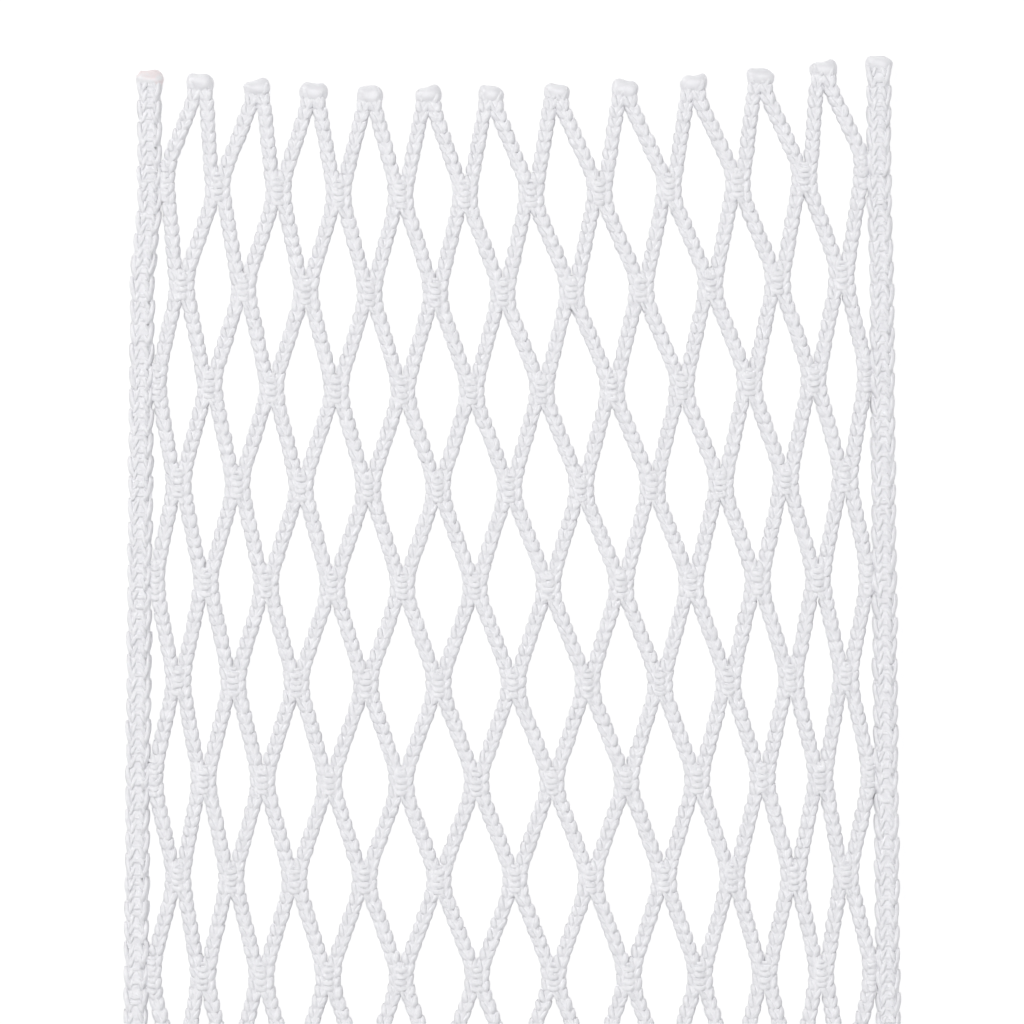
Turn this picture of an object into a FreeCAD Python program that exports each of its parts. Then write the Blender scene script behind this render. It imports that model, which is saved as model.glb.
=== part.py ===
import FreeCAD, Part

import math
import os

import Sketcher

# Knitted netting for a lacrosse goalkeeper's stick, laid flat, in millimetres.
#
# The net lies in the XY plane with +Y towards its top edge and +Z up. The origin is the middle of
# the net's outline, on the surface that it lies on. Twenty-two cords zigzag down the net. In each
# row every cord is knitted into one neighbour, alternately the left and the right one, and on odd
# rows the outermost cords are knitted into a wide edge cord (the selvedge). Both cut ends of the
# net are heat-sealed, which leaves a hard melted tip on every pair of cords.
#
# A joint's place is given by its column and its row. Column 0 is the left selvedge and the last
# column, 22, is the right one. Odd columns hold the joints of even rows, and even columns those of
# odd rows. Row 0 is the top row of sealed tips, and row row_count + 1 is the bottom one. Between
# joints a cord is a straight bar, which meets each joint face to face.

DRIVING_DIMENSIONS = [
    ("cord_count", 22, "inner cords, numbered from the left"),
    ("row_count", 21, "rows of knitted joints"),
    ("row_pitch", 19.36, "from one row of joints to the next"),
    ("end_to_first_row", 21.97, "from a cut end to the middle of its nearest row"),
    ("outer_joint_x", 66.1, "from the centre line to the outermost free joint"),
    ("top_draw_in", 4.45, "how much nearer the outermost tip is at the top edge"),
    ("draw_in_rows", 1.2, "rows over which the draw-in dies away"),
    ("centre_spread", 0.16, "how much wider than even the middle diamonds hang"),
    ("spread_rows", 5.0, "rows over which the spread builds up"),
    ("top_skew", 4.26, "shift of the middle of the top edge to the left"),
    ("skew_rows", 2.6, "rows over which the skew dies away"),
    ("skew_centre", -0.1, "where the skew is largest, as a share of the half-width"),
    ("lower_skew", 0.9, "shift of the middle of the lower rows to the right"),
    ("valley_rise", 3.66, "rise of the top edge one half-width from its lowest point"),
    ("valley_centre", -0.18, "the lowest point, as a share of the half-width"),
    ("valley_rows", 5.0, "rows over which the valley flattens out"),
    ("left_end_rise", 3.1, "rise of the left selvedge's top end above the valley"),
    ("right_end_rise", 6.0, "rise of the right selvedge's top end above the valley"),
    ("cord_width", 2.9, "width of a cord's bar, in the plane of the net"),
    ("cord_thick", 2.3, "thickness of a cord's bar"),
    ("joint_waist", 4.6, "width of a joint"),
    ("joint_reach", 3.7, "from a joint's middle to the crotch above or below it"),
    ("joint_thick", 2.8, "thickness of a joint"),
    ("edge_joint_width", 2.3, "how far a selvedge joint stands out of the selvedge"),
    ("edge_joint_reach", 4.6, "from a selvedge joint's middle to its crotch"),
    ("selvedge_x", 74.4, "from the centre line to a selvedge's middle, lower down"),
    ("selvedge_width", 4.95, "width of a selvedge"),
    ("selvedge_thick", 3.0, "thickness of a selvedge"),
    ("left_top_inset", 2.7, "how much nearer the left selvedge's top stretch is"),
    ("right_top_inset", 1.8, "how much nearer the right selvedge's top stretch is"),
    ("middle_inset", 1.3, "how much nearer both selvedges are where the lean ends"),
    ("lean_start", 28.0, "from a selvedge's top end to where it starts to lean out"),
    ("lean_end", 40.0, "from a selvedge's top end to where the lean ends"),
    ("straight_start", 185.0, "from a selvedge's top end to where it runs straight"),
    ("tip_width", 5.1, "width of a sealed tip"),
    ("tip_reach", 6.3, "from a sealed tip's end to the crotch of its cords"),
    ("tip_thick", 3.2, "thickness of a sealed tip"),
    ("selvedge_tip_width", 5.4, "width of a selvedge's sealed tip"),
    ("selvedge_tip_length", 3.8, "length of a selvedge's sealed tip"),
    ("bevel", 0.6, "bevel along the edges of joints, tips and selvedges"),
]
SHEET_NAME = "dims"
START_RING = 50.0  # radius of the ring on which a sketch's corners are first drawn
UPPER, LOWER = 1, -1

doc = FreeCAD.newDocument("goalie_mesh")
sheet = doc.addObject("Spreadsheet::Sheet", SHEET_NAME)
for line, (alias, value, meaning) in enumerate(DRIVING_DIMENSIONS, start=1):
    sheet.set(f"A{line}", alias)
    sheet.set(f"B{line}", str(value))
    sheet.set(f"C{line}", meaning)
    sheet.setAlias(f"B{line}", alias)
doc.recompute()


def dim(alias):
    """The value of one driving dimension."""
    return float(sheet.get(alias))


CORD_COUNT = int(dim("cord_count"))
LAST_COLUMN = CORD_COUNT
CENTRE_COLUMN = LAST_COLUMN / 2
ROW_COUNT = int(dim("row_count"))
LAST_END = ROW_COUNT + 1
NET_DROP = 2 * dim("end_to_first_row") + (ROW_COUNT - 1) * dim("row_pitch")
VALLEY_Y = (NET_DROP - dim("right_end_rise")) / 2
MID_PLANE = f"{SHEET_NAME}.tip_thick / 2"


def selvedge_inner_x(y, side):
    """The X of a selvedge's inner face at height y, on the left (-1) or the right (+1)."""
    name = "left" if side < 0 else "right"
    below_end = VALLEY_Y + dim(f"{name}_end_rise") - y
    lean_share = (dim("lean_end") - below_end) / (dim("lean_end") - dim("lean_start"))
    rest = dim("straight_start") - dim("lean_end")
    rest_share = (dim("straight_start") - below_end) / rest
    if lean_share > 0:
        extra = dim(f"{name}_top_inset") - dim("middle_inset")
        inset = dim("middle_inset") + extra * min(1.0, lean_share)
    else:
        inset = dim("middle_inset") * max(0.0, rest_share)
    return side * (dim("selvedge_x") - inset - dim("selvedge_width") / 2)


def place(column, row):
    """The middle of a joint, or the outer end of a sealed tip, as (x, y)."""
    across = (column - CENTRE_COLUMN) / (CENTRE_COLUMN - 1)
    half_width = dim("outer_joint_x") - dim("top_draw_in") * math.exp(-row / dim("draw_in_rows"))
    settled = 1 - math.exp(-((row / dim("spread_rows")) ** 2))
    spread = dim("centre_spread") * settled
    skew = dim("top_skew") * math.exp(-row / dim("skew_rows")) - dim("lower_skew") * settled
    skewed = max(0.0, 1 - (across - dim("skew_centre")) ** 2) ** 2
    x = half_width * (across + spread * (across - across**3)) - skew * skewed
    drop = 0.0
    if row > 0:
        drop = dim("end_to_first_row") + (row - 1) * dim("row_pitch")
    if row == LAST_END:
        drop = NET_DROP
    rise = dim("valley_rise") * math.exp(-row / dim("valley_rows"))
    y = VALLEY_Y - drop + rise * (across - dim("valley_centre")) ** 2
    return x, y


def is_end(row):
    return row in (0, LAST_END)


def edge_side(column):
    """-1 for the left selvedge's column, +1 for the right one's and 0 for any other."""
    return {0: -1, LAST_COLUMN: 1}.get(column, 0)


def crotch(column, row, level):
    """The point where a joint's two bars part, above (UPPER) or below (LOWER) the joint."""
    x, y = place(column, row)
    side = edge_side(column)
    if is_end(row):
        inwards = LOWER if row == 0 else UPPER
        return x, y + inwards * dim("tip_reach")
    if side:
        y += level * dim("edge_joint_reach")
        return selvedge_inner_x(y, side), y
    return x, y + level * dim("joint_reach")


def column_of(cord, row):
    """The column of the joint that holds this cord in this row."""
    return cord if cord % 2 != row % 2 else cord - 1


def bar_line(cord, row):
    """The axis of a cord's bar below a row: its start, its direction, its length and its side.

    The bar's inner edge starts at one crotch and ends at the next one, on the other side of it, so
    the axis passes both at half the cord's width."""
    column, next_column = column_of(cord, row), column_of(cord, row + 1)
    side = 1 if next_column > column else -1
    start = crotch(column, row, LOWER)
    end = crotch(next_column, row + 1, UPPER)
    run, fall = end[0] - start[0], end[1] - start[1]
    width = dim("cord_width")
    square = run**2 + fall**2
    length = math.sqrt(square - width**2)
    direction = (
        (length * run + side * width * fall) / square,
        (length * fall - side * width * run) / square,
    )
    axis_start = (
        start[0] - side * direction[1] * width / 2,
        start[1] + side * direction[0] * width / 2,
    )
    return axis_start, direction, length, side


def cord_bar(cord, row):
    """One straight bar of a cord, with an oval section."""
    start, direction, length, _ = bar_line(cord, row)
    oval = Part.Ellipse(FreeCAD.Vector(), dim("cord_width") / 2, dim("cord_thick") / 2)
    bar = Part.Face(Part.Wire(oval.toShape())).extrude(FreeCAD.Vector(0, 0, length))
    along = FreeCAD.Vector(direction[0], direction[1], 0)
    across = FreeCAD.Vector(-direction[1], direction[0], 0)
    turn = FreeCAD.Rotation(across, along.cross(across), along, "ZXY")
    bar.Placement = FreeCAD.Placement(FreeCAD.Vector(start[0], start[1], 0), turn)
    return bar


def shoulder(corner, cord, row, limit_x):
    """Where the end face of a bar, which starts at a crotch, reaches the X of a joint's side."""
    direction = bar_line(cord, row)[1]
    slope = -direction[0] / direction[1]
    return limit_x, corner[1] + (limit_x - corner[0]) * slope


def plan_block(corners, thick):
    """A bevelled block of the given plan, half above and half below the net's mid-plane."""
    outline = [FreeCAD.Vector(x, y, -thick / 2) for x, y in corners]
    face = Part.Face(Part.makePolygon(outline + outline[:1]))
    block = face.extrude(FreeCAD.Vector(0, 0, thick))
    rims = [edge for edge in block.Edges if edge.BoundBox.ZLength < dim("bevel") / 2]
    return block.makeChamfer(dim("bevel"), rims)


def free_joint(column, row):
    """A joint of two cords: a hexagon in plan, with a face square to each of its four bars."""
    middle = place(column, row)[0]
    left, right = middle - dim("joint_waist") / 2, middle + dim("joint_waist") / 2
    top, bottom = crotch(column, row, UPPER), crotch(column, row, LOWER)
    left_cord, right_cord = column, column + 1
    corners = [
        top,
        shoulder(top, right_cord, row - 1, right),
        shoulder(bottom, right_cord, row, right),
        bottom,
        shoulder(bottom, left_cord, row, left),
        shoulder(top, left_cord, row - 1, left),
    ]
    return plan_block(corners, dim("joint_thick"))


def edge_joint(column, row):
    """A joint of the outermost cord and its selvedge: it fills the space between them."""
    side = edge_side(column)
    cord = 1 if side < 0 else CORD_COUNT
    top, bottom = crotch(column, row, UPPER), crotch(column, row, LOWER)
    free_x = (top[0] + bottom[0]) / 2 - side * dim("edge_joint_width")
    corners = [top, shoulder(top, cord, row - 1, free_x), shoulder(bottom, cord, row, free_x), bottom]
    return plan_block(corners, dim("joint_thick"))


def sealed_tip(column, row):
    """A melted tip that holds two cord ends, with a face square to each of their bars."""
    middle, end_y = place(column, row)
    half = dim("tip_width") / 2
    left, right = middle - half, middle + half
    level = LOWER if row == 0 else UPPER
    bar_row = min(row, ROW_COUNT)
    inner = crotch(column, row, level)
    corners = [
        (left, end_y),
        (right, end_y),
        shoulder(inner, column + 1, bar_row, right),
        inner,
        shoulder(inner, column, bar_row, left),
    ]
    return plan_block(corners, dim("tip_thick"))


def add_group(label, solids):
    """A sub-part made of separate solids, modelled on the mid-plane and lifted to its height."""
    group = doc.addObject("Part::Feature", label)
    group.Label = label
    group.Shape = Part.makeCompound(solids)
    group.setExpression("Placement.Base.z", MID_PLANE)
    return group


def origin_plane(body, role):
    return next(plane for plane in body.Origin.OriginFeatures if plane.Role == role)


def start_point(index, count):
    """Where a sketch's corner is first drawn, on a ring; its constraints then move it into place."""
    turn = 2 * math.pi * index / count
    return FreeCAD.Vector(START_RING * (2 + math.cos(turn)), START_RING * (2 + math.sin(turn)), 0)


def add_padded_body(label, corners, thick):
    """A body padded from a plan whose corners, and whose thickness, are expressions of the sheet."""
    body = doc.addObject("PartDesign::Body", label)
    body.Label = label
    sketch = body.newObject("Sketcher::SketchObject", f"{label}_plan")
    sketch.AttachmentSupport = [(origin_plane(body, "XY_Plane"), "")]
    sketch.MapMode = "FlatFace"
    starts = [start_point(index, len(corners)) for index in range(len(corners))]
    for index, start in enumerate(starts):
        following = starts[(index + 1) % len(starts)]
        sketch.addGeometry(Part.LineSegment(start, following))
    for index, (x, y) in enumerate(corners):
        following = (index + 1) % len(corners)
        sketch.addConstraint(Sketcher.Constraint("Coincident", index, 2, following, 1))
        for kind, value, expression in (
            ("DistanceX", starts[index].x, x),
            ("DistanceY", starts[index].y, y),
        ):
            number = sketch.addConstraint(Sketcher.Constraint(kind, -1, 1, index, 1, value))
            sketch.setExpression(f"Constraints[{number}]", expression)
    pad = body.newObject("PartDesign::Pad", f"{label}_pad")
    pad.Profile = sketch
    pad.Midplane = True
    pad.setExpression("Length", thick)
    sketch.Visibility = False
    doc.recompute()
    rims = [
        f"Edge{number}"
        for number, edge in enumerate(pad.Shape.Edges, start=1)
        if edge.BoundBox.ZLength < dim("bevel") / 2
    ]
    bevel = body.newObject("PartDesign::Chamfer", f"{label}_bevel")
    bevel.Base = (pad, rims)
    bevel.setExpression("Size", f"{SHEET_NAME}.bevel")
    return body


def set_on_side(body, side, y):
    """Puts a body, drawn on the right, on its side of the net: half a turn about Y for the left."""
    turn = FreeCAD.Rotation(FreeCAD.Vector(0, 1, 0), 0 if side > 0 else 180)
    body.Placement = FreeCAD.Placement(FreeCAD.Vector(0, y, 0), turn)
    body.setExpression("Placement.Base.z", MID_PLANE)
    return body


def add_selvedge(name, side):
    """A selvedge between its two sealed tips, which leans inwards towards the top edge."""
    drop = "2 * dims.end_to_first_row + (dims.row_count - 1) * dims.row_pitch"
    length = f"{drop} + dims.{name}_end_rise"
    stations = [
        ("dims.selvedge_tip_length", "0"),
        (f"{length} - dims.straight_start", "0"),
        (f"{length} - dims.lean_end", "dims.middle_inset"),
        (f"{length} - dims.lean_start", f"dims.{name}_top_inset"),
        (f"{length} - dims.selvedge_tip_length", f"dims.{name}_top_inset"),
    ]
    middles = [(f"dims.selvedge_x - {inset}", y) for y, inset in stations]
    half = "dims.selvedge_width / 2"
    outer = [(f"{x} + {half}", y) for x, y in middles]
    inner = [(f"{x} - {half}", y) for x, y in reversed(middles)]
    body = add_padded_body(f"{name}_selvedge_cord", outer + inner, "dims.selvedge_thick")
    return set_on_side(body, side, VALLEY_Y - NET_DROP)


def add_selvedge_tip(name, side, at_top):
    """The hard sealed end of a selvedge."""
    middle = f"dims.selvedge_x - dims.{name}_top_inset" if at_top else "dims.selvedge_x"
    left = f"{middle} - dims.selvedge_tip_width / 2"
    right = f"{middle} + dims.selvedge_tip_width / 2"
    corners = [
        (left, "0"),
        (right, "0"),
        (right, "dims.selvedge_tip_length"),
        (left, "dims.selvedge_tip_length"),
    ]
    end = "top" if at_top else "bottom"
    body = add_padded_body(f"{end}_{name}_selvedge_tip", corners, "dims.tip_thick")
    low_y = VALLEY_Y - NET_DROP
    if at_top:
        low_y = VALLEY_Y + dim(f"{name}_end_rise") - dim("selvedge_tip_length")
    return set_on_side(body, side, low_y)


nodes = []
for side_name, side_sign in (("left", -1), ("right", 1)):
    nodes.append(add_selvedge(side_name, side_sign))
    nodes.append(add_selvedge_tip(side_name, side_sign, at_top=True))
    nodes.append(add_selvedge_tip(side_name, side_sign, at_top=False))

for cord in range(1, CORD_COUNT + 1):
    bars = [cord_bar(cord, row) for row in range(LAST_END)]
    nodes.append(add_group(f"mesh_cord_{cord:02d}", bars))

for row in range(1, LAST_END):
    first_column = 2 if row % 2 else 1
    joints = [free_joint(column, row) for column in range(first_column, LAST_COLUMN, 2)]
    if row % 2:
        joints += [edge_joint(0, row), edge_joint(LAST_COLUMN, row)]
    nodes.append(add_group(f"joint_row_{row:02d}", joints))

for label, row in (("top_sealed_tips", 0), ("bottom_sealed_tips", LAST_END)):
    tips = [sealed_tip(column, row) for column in range(1, LAST_COLUMN, 2)]
    nodes.append(add_group(label, tips))

doc.recompute()
for item in doc.Objects:
    if "Invalid" in item.State or "Error" in item.State:
        raise RuntimeError(f"{item.Label} failed: {item.State}")
for node in nodes:
    if node.Shape.isNull() or not node.Shape.isValid():
        raise RuntimeError(f"{node.Label} has no valid shape")

os.makedirs("parts", exist_ok=True)
for node in nodes:
    node.Shape.exportStep(f"parts/{node.Label}.step")
    print(node.Label, len(node.Shape.Solids), "solids", round(node.Shape.Volume, 1), "mm3")
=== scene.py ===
import itertools
import math

import bmesh
import bpy
import numpy as np
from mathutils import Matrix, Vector


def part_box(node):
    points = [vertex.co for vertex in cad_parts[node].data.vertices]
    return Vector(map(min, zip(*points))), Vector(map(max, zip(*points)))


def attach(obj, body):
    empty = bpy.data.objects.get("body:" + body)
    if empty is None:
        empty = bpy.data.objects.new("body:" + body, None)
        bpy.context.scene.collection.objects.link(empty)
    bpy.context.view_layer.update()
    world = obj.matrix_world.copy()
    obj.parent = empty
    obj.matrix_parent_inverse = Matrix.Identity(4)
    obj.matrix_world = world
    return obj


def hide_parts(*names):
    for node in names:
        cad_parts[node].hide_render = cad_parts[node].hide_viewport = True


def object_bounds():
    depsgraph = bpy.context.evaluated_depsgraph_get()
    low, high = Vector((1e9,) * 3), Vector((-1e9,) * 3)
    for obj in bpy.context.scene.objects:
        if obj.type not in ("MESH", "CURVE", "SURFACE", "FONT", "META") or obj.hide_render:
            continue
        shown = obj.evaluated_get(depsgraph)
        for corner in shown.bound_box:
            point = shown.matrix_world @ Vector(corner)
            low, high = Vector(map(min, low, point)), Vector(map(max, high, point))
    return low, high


# Lacrosse goalie mesh: knotless knitted netting of white nylon, laid flat. Each cord is made of the
# yarns that it is knitted from: V-shaped stitches down both its sides, on the face and on the back,
# over straight yarns inside. Lengths are in metres. Places come from the CAD frame: a cord runs
# through the ends of its straight bars, and joints and tips stand where their solids do.
# A yarn's sizes are half its width and half its height. "up" counts from the net's middle plane.

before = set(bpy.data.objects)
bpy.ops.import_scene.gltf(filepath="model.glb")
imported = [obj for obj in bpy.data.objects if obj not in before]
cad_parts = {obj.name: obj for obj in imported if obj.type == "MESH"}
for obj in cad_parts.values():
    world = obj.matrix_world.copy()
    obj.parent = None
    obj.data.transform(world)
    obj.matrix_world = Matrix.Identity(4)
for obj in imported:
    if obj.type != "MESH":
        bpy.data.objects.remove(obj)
cad_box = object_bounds()

MM = 0.001
SEED = 20
LEFT, RIGHT = -1, 1
FACE, BACK = 1, -1

CORDS, ROWS = 22, 21
ENDS, SIDES = ("top", "bottom"), ("left", "right")
JOINT_SEED, SELVEDGE_SEED, TIPS_SEED, SELVEDGE_TIP_SEED = 100, 201, 301, 401


# Middle lines, read from the CAD frame

GROUP_GAP = 3 * MM  # between the ends of a cord's bars, between joints and between tips
STEP = 0.25 * MM  # between the points of a cord's middle line
ROUNDING = 0.8 * MM  # how far the corners of a middle line are rounded
ROUNDING_REACH = int(3 * ROUNDING / STEP)  # in points of the middle line
JOINT_PULL = 0.4 * MM  # how far a cord bends towards its partner in a joint
NECK_HALF = 0.9 * MM  # from the middle of a sealed tip to the middle of either cord
NECK_DEPTH = 3.4 * MM  # from a tip's end to where its cords start to part
CORD_START = 1.2 * MM  # from a tip's end to where its cords start, inside the melt
SELVEDGE_START = 2.2 * MM  # how far a selvedge goes on inside its tips


def corner_points(node):
    """The corner points of a CAD node."""
    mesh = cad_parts[node].data
    points = np.empty(len(mesh.vertices) * 3, np.float32)
    mesh.vertices.foreach_get("co", points)
    return points.reshape(-1, 3).astype(float)


def groups_apart(points, axis):
    """The points in groups with a wide gap between them along one axis."""
    points = points[np.argsort(points[:, axis])]
    breaks = np.flatnonzero(np.diff(points[:, axis]) > GROUP_GAP) + 1
    return np.split(points, breaks)


def middle_of(points):
    return (points.min(axis=0) + points.max(axis=0)) / 2


def size_of(points):
    return points.max(axis=0) - points.min(axis=0)


def rounded(raw):
    """A row of evenly spaced points with its corners rounded."""
    weights = np.exp(-0.5 * (np.arange(-ROUNDING_REACH, ROUNDING_REACH + 1) * STEP / ROUNDING) ** 2)
    weights /= weights.sum()
    before = 2 * raw[0] - raw[ROUNDING_REACH:0:-1]
    after = 2 * raw[-1] - raw[-2 : -ROUNDING_REACH - 2 : -1]
    padded = np.concatenate([before, raw, after])
    return np.stack([np.convolve(padded[:, axis], weights, "valid") for axis in (0, 1)], axis=1)


def middle_line(anchors):
    """A line through anchors in the net's plane with rounded corners, and its right-hand side."""
    anchors = np.array(anchors)[:, :2]
    spans = np.linalg.norm(np.diff(anchors, axis=0), axis=1)
    lengths = np.concatenate([[0], np.cumsum(spans)])
    along = np.linspace(0, lengths[-1], int(lengths[-1] / STEP) + 2)
    place = rounded(np.stack([np.interp(along, lengths, anchors[:, axis]) for axis in (0, 1)], axis=1))
    course = np.gradient(place, axis=0)
    course /= np.linalg.norm(course, axis=1, keepdims=True)
    right = np.stack([-course[:, 1], course[:, 0]], axis=1)
    return {"along": along, "place": place, "right": right, "length": along[-1]}


def line_value(line, key, along):
    return np.stack([np.interp(along, line["along"], line[key][:, axis]) for axis in (0, 1)], axis=1)


def tip_ends(node, end):
    """The middle X and the outer end's Y of each sealed tip of a CAD node."""
    outer = max if end == "top" else min
    tips = groups_apart(corner_points(node), 0)
    return [(middle_of(tip)[0], outer(tip[:, 1])) for tip in tips]


def neck_points(ring, tips, end):
    """Where a cord starts inside its sealed tip, and where it leaves the tip's neck."""
    inwards = -1 if end == "top" else 1
    tip_x, tip_y = min(tips, key=lambda tip: abs(tip[0] - ring[0]))
    x = tip_x + math.copysign(NECK_HALF, ring[0] - tip_x)
    return [(x, tip_y + inwards * CORD_START), (x, tip_y + inwards * NECK_DEPTH)]


def cord_line(number):
    """The middle line of a cord, from inside its top tip to inside its bottom tip.

    It goes through both ends of each bar, and bends towards its partner in each joint."""
    bar_ends = groups_apart(corner_points(f"mesh_cord_{number:02d}"), 1)
    rings = [middle_of(group)[:2] for group in bar_ends]
    rings.reverse()
    anchors = neck_points(rings[0], TOP_TIPS, "top")
    for index in range(0, len(rings), 2):
        anchors += [rings[index], rings[index + 1]]
        if index + 2 < len(rings):
            slant = rings[index + 1][0] - rings[index][0]
            next_slant = rings[index + 3][0] - rings[index + 2][0]
            joint = (rings[index + 1] + rings[index + 2]) / 2
            pull = math.copysign(JOINT_PULL, slant - next_slant)
            anchors.append((joint[0] + pull, joint[1]))
    anchors += neck_points(rings[-1], BOTTOM_TIPS, "bottom")[::-1]
    return middle_line(anchors)


def selvedge_line(node):
    """The middle line of a selvedge, from inside its top tip to inside its bottom tip."""
    stations = groups_apart(corner_points(node), 1)
    anchors = [middle_of(group)[:2] for group in stations][::-1]
    inside_tip = np.array([0, SELVEDGE_START])
    return middle_line([anchors[0] + inside_tip] + anchors + [anchors[-1] - inside_tip])


def joint_line(x, y, half):
    """A short straight line down through a joint."""
    return middle_line([(x, y + half), (x, y - half)])


TOP_TIPS = tip_ends("top_sealed_tips", "top")
BOTTOM_TIPS = tip_ends("bottom_sealed_tips", "bottom")
MID_PLANE = middle_of(corner_points("mesh_cord_01"))[2]


# Yarn

FLOW = "yarn"  # the attribute that holds the yarn coordinates
FILAMENT_TWIST = 900.0  # radians in a metre of yarn
CORD_HALF_WIDTH, CORD_HALF_THICK = 1.45 * MM, 1.15 * MM  # the oval that yarns face outwards from
CORE_OFFSET = (0.001 * MM, 0.01 * MM)  # across and up; a yarn needs an outward side
FACE_SIDES, BACK_SIDES = 8, 5  # of a stitch's section
FINE_BACK_SIDES = 6  # of a loop's section on the back
CORE_STEP = 1.5 * MM
RUNG_POINTS = 7  # of a yarn, in each crossing
RUNG_BLUNTNESS = 2.6  # the higher it is, the flatter the middle of a crossing
RUNG_SHAKE = 0.02 * MM
UNEVEN_WAVES = (2, 3, 5)  # in repeats, before they are stretched
UNEVEN_STRETCH = 1.7


def uneven(along, pitch, random, shake):
    """Places along a line, shifted a little to and fro so that a repeat is less even."""
    shift = np.zeros(len(along))
    for count in UNEVEN_WAVES:
        start = random.uniform(0, math.tau)
        wave = pitch * count * UNEVEN_STRETCH
        shift += shake * pitch / count * np.sin(along / wave * math.tau + start)
    return along + shift


class Skein:
    """Yarns that become one mesh. Each is a tube with an oval section."""

    def __init__(self, seed):
        self.random = np.random.default_rng([SEED, seed])
        self.points, self.quads, self.flow = [], [], []
        self.count = 0

    def add(self, points, flow, quads):
        """One body: its points, their yarn coordinates, and its faces."""
        self.points.append(points)
        self.flow.append(flow)
        self.quads.append(quads + self.count)
        self.count += len(points)

    def tube(self, points, outward, wide, high, sides):
        """A tube along points, so wide across and so high outwards from the cord's middle."""
        along = np.gradient(points, axis=0)
        steps = np.linalg.norm(along, axis=1, keepdims=True)
        along /= steps
        across = np.cross(outward, along)
        across /= np.linalg.norm(across, axis=1, keepdims=True)
        up = np.cross(along, across)
        turn = np.arange(sides) / sides * math.tau + math.pi / sides
        wide, high = (np.broadcast_to(size, len(points))[:, None, None] for size in (wide, high))
        ring = across[:, None] * wide * np.cos(turn)[:, None]
        ring = ring + up[:, None] * high * np.sin(turn)[:, None]
        flow = self.tube_flow(np.cumsum(steps), turn, float(np.mean(high)))
        self.add((points[:, None] + ring).reshape(-1, 3), flow, tube_quads(len(points), sides))

    def tube_flow(self, length, turn, radius):
        """Yarn coordinates, in which the filaments run straight along the third axis."""
        twisted = turn[None] + length[:, None] * FILAMENT_TWIST
        shift = self.random.uniform(0, 1)
        along = length[:, None] + 0 * twisted
        flow = [radius * np.cos(twisted) + shift, radius * np.sin(twisted), along]
        return np.stack(flow, axis=2).reshape(-1, 3)

    def lay(self, line, along, across, up, wide, high, sides=FACE_SIDES):
        """A yarn beside a line: so far along it, across it to the right, and up from its middle."""
        place, right = line_value(line, "place", along), line_value(line, "right", along)
        across, up = (np.broadcast_to(value, len(along)) for value in (across, up))
        points = np.column_stack([place + right * across[:, None], MID_PLANE + up])
        lean = across / CORD_HALF_WIDTH**2
        rise = up / CORD_HALF_THICK**2
        outward = np.column_stack([right * lean[:, None], rise])
        self.tube(points, outward, wide, high, sides)

    def make(self, name, material):
        mesh = bpy.data.meshes.new(name)
        points, quads = np.concatenate(self.points), np.concatenate(self.quads)
        mesh.vertices.add(len(points))
        mesh.vertices.foreach_set("co", points.astype(np.float32).ravel())
        mesh.loops.add(quads.size)
        mesh.loops.foreach_set("vertex_index", quads.astype(np.int32).ravel())
        mesh.polygons.add(len(quads))
        mesh.polygons.foreach_set("loop_start", np.arange(0, quads.size, 4, dtype=np.int32))
        mesh.polygons.foreach_set("use_smooth", np.ones(len(quads), bool))
        flow = mesh.attributes.new(FLOW, "FLOAT_VECTOR", "POINT")
        flow.data.foreach_set("vector", np.concatenate(self.flow).astype(np.float32).ravel())
        mesh.update(calc_edges=True)
        mesh.materials.append(material)
        piece = bpy.data.objects.new(name, mesh)
        bpy.context.scene.collection.objects.link(piece)
        return piece


def tube_quads(rings, sides):
    """The faces of a tube: its walls, and a fan of quads over each of its ends.

    The fan leaves one corner open where the number of sides is odd."""
    ring, side = np.meshgrid(np.arange(rings - 1), np.arange(sides), indexing="ij")
    first, second = ring * sides + side, ring * sides + (side + 1) % sides
    walls = np.stack([first, second, second + sides, first + sides], axis=2).reshape(-1, 4)
    fan = np.array([(0, 2 * k + 3, 2 * k + 2, 2 * k + 1) for k in range(sides // 2 - 1)])
    last = fan[:, ::-1] + (rings - 1) * sides
    return np.concatenate([walls, fan, last])


def rungs(random, starts, reach, end, top, sag):
    """A yarn that crosses to and fro: its places along, across and up.

    reach holds how far each crossing goes to the left and to the right, and end how high it ends."""
    share = np.linspace(-1, 1, RUNG_POINTS)[None]
    turned = np.where(np.arange(len(starts))[:, None] % 2, share, -share)
    end, top, sag, left_reach, right_reach = (
        np.reshape(value, (-1, 1)) * np.ones((len(starts), 1)) for value in (end, top, sag, *reach)
    )
    across = turned * np.where(turned < 0, left_reach, right_reach)
    across = across + random.normal(0, RUNG_SHAKE, turned.shape)
    along = starts[:, None] + sag * (1 - turned**2)
    up = end + (top - end) * (1 - np.abs(turned) ** RUNG_BLUNTNESS)
    return along.ravel(), across.ravel(), up.ravel()


def lay_core(skein, line, wide, high, sides):
    """The yarns inside a cord, as one body."""
    along = np.arange(0, line["length"], CORE_STEP)
    skein.lay(line, along, *CORE_OFFSET, wide, high, sides)


# Stitches

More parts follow.
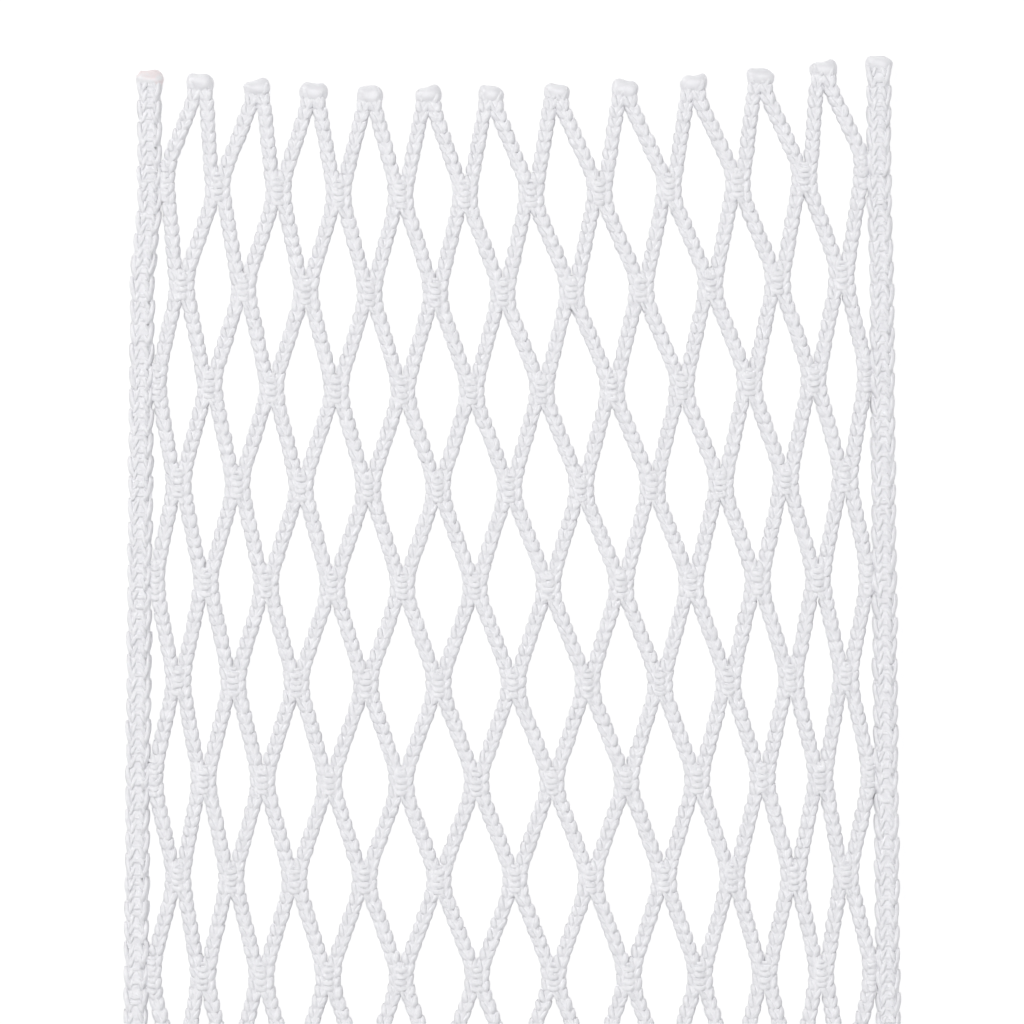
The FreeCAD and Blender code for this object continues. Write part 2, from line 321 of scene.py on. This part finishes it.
STITCH_SHARES = np.array([0, 0.14, 0.34, 0.56, 0.78, 1.0])  # the visible points of a stitch
STITCH_SWELL = np.sin(math.pi * (0.1 + 0.82 * STITCH_SHARES)) ** 0.6  # 1 in the middle, less at the ends
STITCH_HEIGHT = 0.35 + 0.65 * STITCH_SWELL
STITCH_THICKNESS = 0.6 + 0.4 * STITCH_SWELL
STITCH_FLATNESS = 0.7  # a stitch's height over its width
OVERLAP = 1.22  # how long a stitch is, in steps from one stitch to the next
RETURN_SHARE = 0.95  # where the yarn goes back inside, in the same steps
RETURN_UP, RETURN_SIZE = 0.1 * MM, 0.3 * MM
RAISED_OUT, RAISED_ACROSS = 0.06 * MM, 0.16 * MM  # how much further a raised stitch goes, each way
RAISED_UP, RAISED_SIZE = 0.04, 0.06  # how much higher and larger a raised stitch is
OUTER_SPREAD, INNER_SPREAD, UP_SPREAD, SIZE_SPREAD = 0.035, 0.05, 0.05, 0.09
START_SPREAD = 0.1 * MM

# outer and inner: how far from the middle a stitch starts and ends. top: how high its middle is.
# hook: the higher it is, the later a stitch turns.
CORD_STITCH = {"outer": 1.1 * MM, "inner": 0.1 * MM, "top": 0.84 * MM, "wide": 0.62 * MM, "hook": 1.5}
EDGE_STITCH = {"outer": 2.05 * MM, "inner": 0.3 * MM, "top": 0.8 * MM, "wide": 0.68 * MM, "hook": 2.6}
ARCH_STITCH = {"outer": 0.25 * MM, "inner": 1.5 * MM, "top": 1.08 * MM, "wide": 0.52 * MM, "hook": 0.75}


def lay_stitches(skein, line, face, side, starts, outer, inner, top, wide, hook, raised=0.0):
    """A yarn of stitches down one side of a cord.

    Each stitch comes up at its outer point, runs down to its inner point, and dives under the
    next one. raised: for each stitch, 1 on the side that a leaning cord turns upwards, where
    stitches are larger, and -1 on the other."""
    random = skein.random
    column = (len(starts) - 1, 1)
    raised = np.reshape(raised, (-1, 1)) + np.zeros(column)
    outer = outer * random.normal(1, OUTER_SPREAD, column) + RAISED_OUT * raised
    inner = inner * random.normal(1, INNER_SPREAD, column) - RAISED_ACROSS * raised
    across = inner + (outer - inner) * (1 - STITCH_SHARES**hook)
    up = top * (random.normal(1, UP_SPREAD, column) + RAISED_UP * raised) * STITCH_HEIGHT
    size = wide * (random.normal(1, SIZE_SPREAD, column) + RAISED_SIZE * raised) * STITCH_THICKNESS
    pitch = np.diff(starts)[:, None]
    starts = starts[:-1, None]
    along = starts + pitch * OVERLAP * STITCH_SHARES + random.normal(0, START_SPREAD, column)
    along = np.hstack([along, starts + pitch * RETURN_SHARE]).ravel()
    across = side * np.hstack([across, (outer + inner) / 2]).ravel()
    up = face * np.hstack([up, np.full(column, RETURN_UP)]).ravel()
    size = np.hstack([size, np.full(column, RETURN_SIZE)]).ravel()
    along = along + level_shift(line, along) * across
    sides = FACE_SIDES if face == FACE else BACK_SIDES
    skein.lay(line, along, across, up, size, size * STITCH_FLATNESS, sides)


def level_shift(line, along):
    """How far along a line a yarn shifts, for each step across it, so that stitches stay level."""
    right = line_value(line, "right", along)
    return right[:, 1] / right[:, 0]


# Cords

STITCH = 2.15 * MM  # from one stitch of a cord to the next
STITCH_SHAKE = 0.12
FULL_LEAN = 0.3  # the sideways part of a cord's direction at which it counts as fully leaning
RAIL_STEP = 0.8 * MM
CORD_CORE = {"wide": 1.3 * MM, "high": 1.14 * MM, "sides": 10}
RAIL_ACROSS, RAIL_UP = 0.9 * MM, 0.42 * MM
RAIL = {"wide": 0.42 * MM, "high": 0.46 * MM, "sides": 6}


def leaning(line, along):
    """How a line leans: 1 where it runs down to the right, -1 to the left."""
    return np.clip(line_value(line, "right", along)[:, 1] / FULL_LEAN, -1, 1)


def lay_rails(skein, line):
    """The straight yarns inside a cord's edges, two on each side."""
    along = np.arange(0, line["length"], RAIL_STEP)
    for side, face in itertools.product((LEFT, RIGHT), (FACE, BACK)):
        skein.lay(line, along, side * RAIL_ACROSS, face * RAIL_UP, **RAIL)


def make_cord(number, material):
    """One knitted cord from tip to tip."""
    line = cord_line(number)
    skein = Skein(number)
    count = int(line["length"] / STITCH)
    starts = np.arange(count + 1) * line["length"] / count
    starts = uneven(starts, STITCH, skein.random, STITCH_SHAKE)
    lean = leaning(line, starts[:-1])
    lay_core(skein, line, **CORD_CORE)
    lay_rails(skein, line)
    for face, side in itertools.product((FACE, BACK), (LEFT, RIGHT)):
        lay_stitches(skein, line, face, side, starts, **CORD_STITCH, raised=lean * side)
    return skein.make(f"cord_{number:02d}_knit", material)


# Joints

EDGE_JOINT_LIMIT = 3.5 * MM  # a narrower joint ties a cord to a selvedge
EDGE_JOINT_SHIFT = 0.35 * MM  # towards the selvedge
INNER_JOINT = {"half": 1.6 * MM, "pitch": 1.25 * MM, "top": 1.46 * MM}
EDGE_JOINT = {"half": 1.15 * MM, "pitch": 1.15 * MM, "top": 1.35 * MM}
INNER_JOINT_ENDS, EDGE_JOINT_ENDS = 1.6 * MM, 1.3 * MM  # above and below the bands
INNER_SADDLE = {"half": 1.25 * MM, "dip": 0.75 * MM}
EDGE_SADDLE = {"half": 1.2 * MM, "dip": 0.5 * MM}
INNER_SADDLE_DEPTH, EDGE_SADDLE_DEPTH = 0.2 * MM, 0.7 * MM  # below the joint's upper end

JOINT_LINE_MARGIN = 3 * MM
JOINT_CORE_MARGINS = {"along": 0.9 * MM, "across": 0.35 * MM, "up": 0.36 * MM}
JOINT_CORE_SHARES = np.linspace(-0.97, 0.97, 9)
JOINT_CORE_SIDES = 12
BAND_WIDE, BAND_HIGH = 0.62 * MM, 0.36 * MM
BAND_DEPTH, BAND_END = 0.3 * MM, 0.3 * MM
BAND_RISE = 0.25 * MM  # how far the bands are shifted up, because they sag
BAND_SPREAD = 0.06 * MM
BAND_SAGS = (0.4, 0.7)  # in millimetres, from the least to the most
BAND_REACHES = (0.85, 1.05)  # of half a joint's width
SADDLE_UP, SADDLE_WIDE, SADDLE_HIGH = 0.95 * MM, 0.45 * MM, 0.36 * MM
SADDLE_LINE_HALF, BULGE_LINE_HALF = 4 * MM, 6 * MM
BULGE_UP, BULGE_WIDE, BULGE_HIGH = 1.05 * MM, 0.46 * MM, 0.36 * MM
BULGE_START, BULGE_LENGTH = 1.6, 3.0  # below the joint's middle, in millimetres
BULGE_START_ACROSS, BULGE_DRIFT = -0.25, 1.35  # across to the right, in millimetres
SMALL_YARN_POINTS = 11


def knit_joint(skein, x, y, reach, half, pitch, top):
    """The yarns that cross a joint on its face and on its back, over the yarns inside it."""
    line = joint_line(x, y, reach + JOINT_LINE_MARGIN)
    random = skein.random
    centre = line["length"] / 2
    margins = JOINT_CORE_MARGINS
    inner = centre + np.linspace(-1, 1, len(JOINT_CORE_SHARES)) * (reach + margins["along"])
    blunt = np.sqrt(1 - JOINT_CORE_SHARES**4)
    wide, high = (half + margins["across"]) * blunt, (top - margins["up"]) * blunt
    skein.lay(line, inner, *CORE_OFFSET, wide, high, JOINT_CORE_SIDES)
    count = int(2 * reach / pitch) + 1
    for face in (FACE, BACK):
        starts = centre + (np.arange(count) - (count - 1) / 2) * pitch - BAND_RISE
        starts = starts + random.normal(0, BAND_SPREAD, count)
        sag = random.uniform(*BAND_SAGS, count) * MM
        reaches = [half * random.uniform(*BAND_REACHES, count) for _ in (LEFT, RIGHT)]
        along, across, up = rungs(random, starts, reaches, BAND_END, top - BAND_DEPTH, sag)
        skein.lay(line, along, across, face * up, BAND_WIDE, BAND_HIGH)


def saddle(skein, x, y, half, dip):
    """A crescent of yarn over the crotch of a joint."""
    line = joint_line(x, y, SADDLE_LINE_HALF)
    share = np.linspace(-1, 1, SMALL_YARN_POINTS)
    along = line["length"] / 2 + dip * (1 - share**2)
    up = SADDLE_UP * (1 - 0.45 * share**2)
    thin = 1 - 0.5 * np.abs(share) ** 3
    for face in (FACE, BACK):
        skein.lay(line, along, half * share, face * up, SADDLE_WIDE * thin, SADDLE_HIGH * thin)


def crossing_bulge(skein, x, y):
    """The yarn that leaves a joint over its neighbour, into the leg at the lower right."""
    line = joint_line(x, y, BULGE_LINE_HALF)
    share = np.linspace(0, 1, SMALL_YARN_POINTS)
    along = line["length"] / 2 + (BULGE_START + BULGE_LENGTH * share) * MM
    across = (BULGE_START_ACROSS + BULGE_DRIFT * share**1.3) * MM
    swell = np.sin(math.pi * np.clip(share, 0.02, 0.98)) ** 0.5
    up = BULGE_UP * (0.55 + 0.45 * swell)
    thin = 0.5 + 0.5 * swell
    skein.lay(line, along, across, up, BULGE_WIDE * thin, BULGE_HIGH * thin)


def make_joint_row(row, material):
    """The joints of one row."""
    skein = Skein(JOINT_SEED + row)
    for group in groups_apart(corner_points(f"joint_row_{row:02d}"), 0):
        (x, y), (wide, tall) = middle_of(group)[:2], size_of(group)[:2]
        half_tall = tall / 2
        if wide < EDGE_JOINT_LIMIT:
            x += math.copysign(EDGE_JOINT_SHIFT, x)
            knit_joint(skein, x, y, half_tall - EDGE_JOINT_ENDS, **EDGE_JOINT)
            saddle(skein, x, y + half_tall - EDGE_SADDLE_DEPTH, **EDGE_SADDLE)
        else:
            knit_joint(skein, x, y, half_tall - INNER_JOINT_ENDS, **INNER_JOINT)
            saddle(skein, x, y + half_tall - INNER_SADDLE_DEPTH, **INNER_SADDLE)
            crossing_bulge(skein, x, y)
    return skein.make(f"joints_{row:02d}_knit", material)


# Selvedges

SELVEDGE_STITCH = 4.35 * MM
SELVEDGE_SHAKE, ARCH_SHAKE = 0.08, 0.2
SELVEDGE_CORE = {"wide": 2.2 * MM, "high": 1.16 * MM, "sides": 12}
LOOP_SHARES = np.array([0.22, 0.7])  # where the small loops are in a selvedge's stitch
LOOP_REACH, LOOP_TOP = 1.85 * MM, 1.06 * MM
LOOP_WIDE, LOOP_HIGH = 0.5 * MM, 0.36 * MM
LOOP_END = 0.6  # of a loop's top
LOOP_SPREAD = 0.1 * MM
LOOP_SAGS = (-0.3, 0.7)  # in millimetres, from the least to the most
LOOP_REACHES, LOOP_TOPS, LOOP_SIZES = (0.55, 1.08), (0.84, 1.04), (0.8, 1.2)  # of the usual


def lay_loops(skein, line, face, starts):
    """A yarn that crosses to and fro over the middle of a selvedge in small level loops."""
    random = skein.random
    count = len(starts)
    starts = starts + random.normal(0, LOOP_SPREAD, count)
    reaches = [LOOP_REACH * random.uniform(*LOOP_REACHES, count) for _ in (LEFT, RIGHT)]
    top = LOOP_TOP * random.uniform(*LOOP_TOPS, count)
    sag = random.uniform(*LOOP_SAGS, count) * MM
    along, across, up = rungs(random, starts, reaches, LOOP_END * top, top, sag)
    size = LOOP_WIDE * np.repeat(random.uniform(*LOOP_SIZES, count), RUNG_POINTS)
    sides = FACE_SIDES if face == FACE else FINE_BACK_SIDES
    skein.lay(line, along, across, face * up, size, LOOP_HIGH, sides)


def make_selvedge(side_name, seed, material):
    """A wide edge cord: long stitches down its sides, arched stitches and small loops between."""
    line = selvedge_line(f"{side_name}_selvedge_cord")
    skein = Skein(seed)
    count = int(line["length"] / SELVEDGE_STITCH)
    starts = np.arange(count + 1) * line["length"] / count
    starts = uneven(starts, SELVEDGE_STITCH, skein.random, SELVEDGE_SHAKE)
    lay_core(skein, line, **SELVEDGE_CORE)
    loops = (starts[:-1, None] + np.diff(starts)[:, None] * LOOP_SHARES).ravel()
    arches = np.linspace(0, line["length"], 2 * count + 1)
    arches = uneven(arches, SELVEDGE_STITCH / 2, skein.random, ARCH_SHAKE)
    for face in (FACE, BACK):
        lay_loops(skein, line, face, loops)
        for side in (LEFT, RIGHT):
            lay_stitches(skein, line, face, side, starts, **EDGE_STITCH)
            lay_stitches(skein, line, face, side, arches, **ARCH_STITCH)
    return skein.make(f"{side_name}_selvedge_knit", material)


# Sealed tips

TIP_CUTS = 11  # across each side of the cube that a lump starts as
TIP_TAPER = 0.36  # how much thinner a lump is at its inner end
TIP_SIDE_TAPER = 0.3 * TIP_TAPER  # how much narrower it is there
TAPER_START = 0.1  # how far to the outer side of a lump's middle the taper starts
TIP_HALF_LENGTHS, TIP_HALF_WIDTHS, TIP_DIPS = (2.0, 2.25), (2.55, 2.85), (0.15, 0.6)  # in mm
TIP_HALF_THICK = 1.48 * MM
SELVEDGE_TIP_DIP = 0.35 * MM
LUMP_BLUNTNESS = 0.78  # 1 makes a lump round, and less makes it squarer
LUMP_UNEVENNESS, LUMP_NOISE_SCALE = 0.06, 2.8
DIP_WIDTH, DIP_SHIFT = 0.3, 0.3  # of a lump's half width
END_SLANT = 0.24  # the steepest that a lump's outer end slants
NOISE_WAVES = 6


def rounded_cube():
    """Points on the unit sphere and the faces of an evenly cut cube."""
    work = bmesh.new()
    bmesh.ops.create_cube(work, size=2)
    bmesh.ops.subdivide_edges(work, edges=work.edges[:], cuts=TIP_CUTS, use_grid_fill=True)
    work.verts.index_update()
    points = np.array([corner.co for corner in work.verts])
    faces = np.array([[corner.index for corner in face.verts] for face in work.faces])
    work.free()
    return points / np.linalg.norm(points, axis=1, keepdims=True), faces


SPHERE_POINTS, SPHERE_FACES = rounded_cube()


def soft_noise(points, scale, random):
    """A smooth uneven field over points, about from -1 to 1."""
    total = np.zeros(len(points))
    for _ in range(NOISE_WAVES):
        direction = random.normal(0, 1, 3)
        total += np.sin(points @ direction * scale + random.uniform(0, math.tau))
    return total / (NOISE_WAVES / 2)


def melted_lump(skein, x, y, half_sizes, inwards, dip):
    """A lump of melted nylon. Its outer end dips like a saddle, and its inner end is thinner."""
    random = skein.random
    unit = SPHERE_POINTS
    shaped = np.sign(unit) * np.abs(unit) ** LUMP_BLUNTNESS
    lumps = 1 + LUMP_UNEVENNESS * soft_noise(unit, LUMP_NOISE_SCALE, random)
    points = shaped * np.array(half_sizes) * lumps[:, None]
    outer = np.clip(-inwards * unit[:, 1], 0, 1)
    inner = np.clip(inwards * unit[:, 1] + TAPER_START, 0, 1)
    points[:, 0] *= 1 - TIP_SIDE_TAPER * inner
    points[:, 2] *= 1 - TIP_TAPER * inner
    dip_middle = random.uniform(-DIP_SHIFT, DIP_SHIFT)
    hollow = np.exp(-(((unit[:, 0] - dip_middle) / DIP_WIDTH) ** 2))
    points[:, 1] += inwards * dip * outer * hollow
    points[:, 1] += inwards * random.uniform(-END_SLANT, END_SLANT) * points[:, 0] * outer
    skein.add(points + np.array([x, y, MID_PLANE]), points, SPHERE_FACES)


def melted_tip(skein, x, end_y, end, half_width, dip):
    """A cut end sealed with heat: a blob that thins out over the yarns that run together in it."""
    inwards = -1 if end == "top" else 1
    half_length = skein.random.uniform(*TIP_HALF_LENGTHS) * MM
    half_sizes = (half_width, half_length, TIP_HALF_THICK)
    melted_lump(skein, x, end_y + inwards * half_length, half_sizes, inwards, dip)


def make_tip_group(end, seed, material):
    """The sealed tips of one cut end."""
    skein = Skein(seed)
    for x, end_y in tip_ends(f"{end}_sealed_tips", end):
        half_width = skein.random.uniform(*TIP_HALF_WIDTHS) * MM
        dip = skein.random.uniform(*TIP_DIPS) * MM
        melted_tip(skein, x, end_y, end, half_width, dip)
    return skein.make(f"{end}_tips_melted", material)


def make_selvedge_tip(end, side_name, seed, material):
    """The sealed end of a selvedge."""
    low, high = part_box(f"{end}_{side_name}_selvedge_tip")
    skein = Skein(seed)
    end_y = high.y if end == "top" else low.y
    half_width = (high.x - low.x) / 2
    melted_tip(skein, (low.x + high.x) / 2, end_y, end, half_width, SELVEDGE_TIP_DIP)
    return skein.make(f"{end}_{side_name}_tip_melted", material)


# Materials

EVEN_ENDS = (0.3, 0.7)  # where in a noise the first colour stops and the second starts
CORD_COLOURS = ((0.84, 0.84, 0.865), (0.93, 0.93, 0.95))
MELT_COLOURS = ((0.80, 0.80, 0.825), (0.88, 0.88, 0.90))
PINK_MELT_COLOURS = ((0.88, 0.795, 0.80), (0.87, 0.865, 0.88))
PINK_MELT_ENDS = (0.42, 0.58)
FLOOR_COLOUR = (0.4, 0.4, 0.4, 1)
WHITE = (1, 1, 1, 1)
HORIZON_COLOUR, ZENITH_COLOUR = (0.85, 0.85, 0.85), (0.15, 0.15, 0.15)
BACKDROP_ENDS = (0.02, 0.25)


def add_node(material, kind, inputs=None, **settings):
    """A node of a material, with values or links for its inputs."""
    tree = material.node_tree
    made = tree.nodes.new(kind)
    for name, value in settings.items():
        setattr(made, name, value)
    for name, value in (inputs or {}).items():
        if isinstance(value, bpy.types.NodeSocket):
            tree.links.new(value, made.inputs[name])
        else:
            made.inputs[name].default_value = value
    return made


def new_material(name):
    material = bpy.data.materials.new(name)
    material.use_nodes = True
    material.node_tree.nodes.clear()
    return material


def finish_material(material, inputs):
    """A Principled shader with these inputs, as the surface of a material."""
    shader = add_node(material, "ShaderNodeBsdfPrincipled", inputs)
    add_node(material, "ShaderNodeOutputMaterial", {"Surface": shader.outputs[0]})
    return material


def noise(material, vector, scale, detail=2.0, roughness=0.5):
    """An uneven field over a surface, from 0 to 1."""
    inputs = {"Vector": vector, "Scale": scale, "Detail": detail, "Roughness": roughness}
    return add_node(material, "ShaderNodeTexNoise", inputs).outputs["Fac"]


def bump(material, height, strength, distance, under=None):
    """A surface made uneven by a height, on top of another bump."""
    inputs = {"Height": height, "Strength": strength, "Distance": distance}
    if under:
        inputs["Normal"] = under
    return add_node(material, "ShaderNodeBump", inputs).outputs["Normal"]


def value_between(material, factor, low, high):
    """A number that goes from one to another as a factor goes from 0 to 1."""
    inputs = {"Value": factor, "To Min": low, "To Max": high}
    return add_node(material, "ShaderNodeMapRange", inputs).outputs["Result"]


def colour_between(material, factor, colours, ends=EVEN_ENDS):
    """A colour between two, by a factor that counts from one end to the other."""
    ramp = add_node(material, "ShaderNodeValToRGB", {"Fac": factor})
    for element, colour, end in zip(ramp.color_ramp.elements, colours, ends):
        element.position = end
        element.color = (*colour, 1)
    return ramp.outputs["Color"]


def knitted_nylon(name, colours):
    """White multifilament yarn: fine twisted filaments, soft sheen, slightly uneven white."""
    material = new_material(name)
    flow = add_node(material, "ShaderNodeAttribute", attribute_name=FLOW).outputs["Vector"]
    place = add_node(material, "ShaderNodeTexCoord").outputs["Object"]
    stretched = add_node(material, "ShaderNodeMapping", {"Vector": flow, "Scale": (1, 1, 0.1)})
    filaments = noise(material, stretched.outputs["Vector"], scale=9000, roughness=0.6)
    patches = noise(material, place, scale=800)
    fuzz = noise(material, place, scale=1700)
    uneven_yarn = bump(material, fuzz, strength=0.6, distance=0.3 * MM)
    inputs = {
        "Base Color": colour_between(material, patches, colours),
        "Roughness": value_between(material, filaments, low=0.42, high=0.66),
        "Normal": bump(material, filaments, strength=0.35, distance=0.12 * MM, under=uneven_yarn),
        "Sheen Weight": 0.2,
        "Sheen Roughness": 0.4,
    }
    return finish_material(material, inputs)


def melted_nylon(name, colours, ends=EVEN_ENDS):
    """Nylon that was melted and set again: smooth, lumpy and slightly glossy."""
    material = new_material(name)
    place = add_node(material, "ShaderNodeTexCoord").outputs["Object"]
    patches = noise(material, place, scale=420)
    pits = noise(material, place, scale=2600, detail=3.0)
    inputs = {
        "Base Color": colour_between(material, patches, colours, ends),
        "Roughness": value_between(material, pits, low=0.2, high=0.42),
        "Normal": bump(material, pits, strength=0.25, distance=0.1 * MM),
    }
    return finish_material(material, inputs)


def studio_white():
    """The pale floor of the studio, lit a little from within like a light table."""
    inputs = {
        "Base Color": FLOOR_COLOUR,
        "Roughness": 0.9,
        "Emission Color": WHITE,
        "Emission Strength": 0.67,
    }
    return finish_material(new_material("studio_floor"), inputs)


# Studio

FLOOR_HALF = 12.0
AIM = Vector((0, 0.1, 0))  # of the lights
LENS, SENSOR = 200.0, 36.0
VIEW_WIDTH = 202.67 * MM  # what the camera sees at the height of the net
VIEW_MIDDLE = 90.5 * MM  # below the net's upper end


def make_floor():
    mesh = bpy.data.meshes.new("studio_floor")
    corners = [(-1, -1), (1, -1), (1, 1), (-1, 1)]
    mesh.from_pydata([(x * FLOOR_HALF, y * FLOOR_HALF, 0) for x, y in corners], [], [(0, 1, 2, 3)])
    mesh.materials.append(studio_white())
    floor = bpy.data.objects.new("studio_floor", mesh)
    bpy.context.scene.collection.objects.link(floor)


def make_light(name, place, size, power, colour):
    lamp = bpy.data.lights.new(name, "AREA")
    lamp.shape = "DISK"
    lamp.size = size
    lamp.energy = power
    lamp.color = colour
    light = bpy.data.objects.new(name, lamp)
    light.location = place
    light.rotation_euler = (AIM - Vector(place)).to_track_quat("-Z", "Y").to_euler()
    light.visible_camera = False
    bpy.context.scene.collection.objects.link(light)


def make_world():
    """A pale backdrop near the horizon, dim above it."""
    world = bpy.data.worlds.new("studio")
    world.use_nodes = True
    world.node_tree.nodes.clear()
    direction = add_node(world, "ShaderNodeTexCoord").outputs["Generated"]
    height = add_node(world, "ShaderNodeSeparateXYZ", {"Vector": direction}).outputs["Z"]
    glow = colour_between(world, height, (HORIZON_COLOUR, ZENITH_COLOUR), BACKDROP_ENDS)
    background = add_node(world, "ShaderNodeBackground", {"Color": glow})
    add_node(world, "ShaderNodeOutputWorld", {"Surface": background.outputs[0]})
    bpy.context.scene.world = world


def make_camera():
    """Straight above the upper end of the net, far away with a long lens."""
    upper_end = cad_box[1].y
    data = bpy.data.cameras.new("camera")
    data.lens = LENS
    data.sensor_width = SENSOR
    camera = bpy.data.objects.new("camera", data)
    camera.location = (0, upper_end - VIEW_MIDDLE, MID_PLANE + VIEW_WIDTH * LENS / SENSOR)
    bpy.context.scene.collection.objects.link(camera)
    bpy.context.scene.camera = camera


def make_studio():
    bpy.context.scene.view_settings.view_transform = "Standard"
    make_camera()
    make_world()
    make_floor()
    make_light("key", place=(-1.3, 1.1, 1.7), size=1.0, power=21, colour=(1.0, 0.99, 0.98))
    make_light("overhead", place=(0.2, 0.1, 2.2), size=1.6, power=28, colour=(0.98, 0.98, 1.0))


def place_piece(piece, node):
    """A piece that stands for a CAD node: it joins the root body, and the CAD node is hidden."""
    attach(piece, "root")
    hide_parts(node)


def make_net():
    cord_nylon = knitted_nylon("cord_nylon", CORD_COLOURS)
    melt = melted_nylon("melted_nylon", MELT_COLOURS)
    pink_melt = melted_nylon("pink_melted_nylon", PINK_MELT_COLOURS, PINK_MELT_ENDS)
    for number in range(1, CORDS + 1):
        place_piece(make_cord(number, cord_nylon), f"mesh_cord_{number:02d}")
    for row in range(1, ROWS + 1):
        place_piece(make_joint_row(row, cord_nylon), f"joint_row_{row:02d}")
    for seed, side in enumerate(SIDES, SELVEDGE_SEED):
        place_piece(make_selvedge(side, seed, cord_nylon), f"{side}_selvedge_cord")
    for seed, end in enumerate(ENDS, TIPS_SEED):
        place_piece(make_tip_group(end, seed, melt), f"{end}_sealed_tips")
    for seed, (end, side) in enumerate(itertools.product(ENDS, SIDES), SELVEDGE_TIP_SEED):
        tinted = (end, side) == ("top", "left")
        piece = make_selvedge_tip(end, side, seed, pink_melt if tinted else melt)
        place_piece(piece, f"{end}_{side}_selvedge_tip")


make_studio()
make_net()
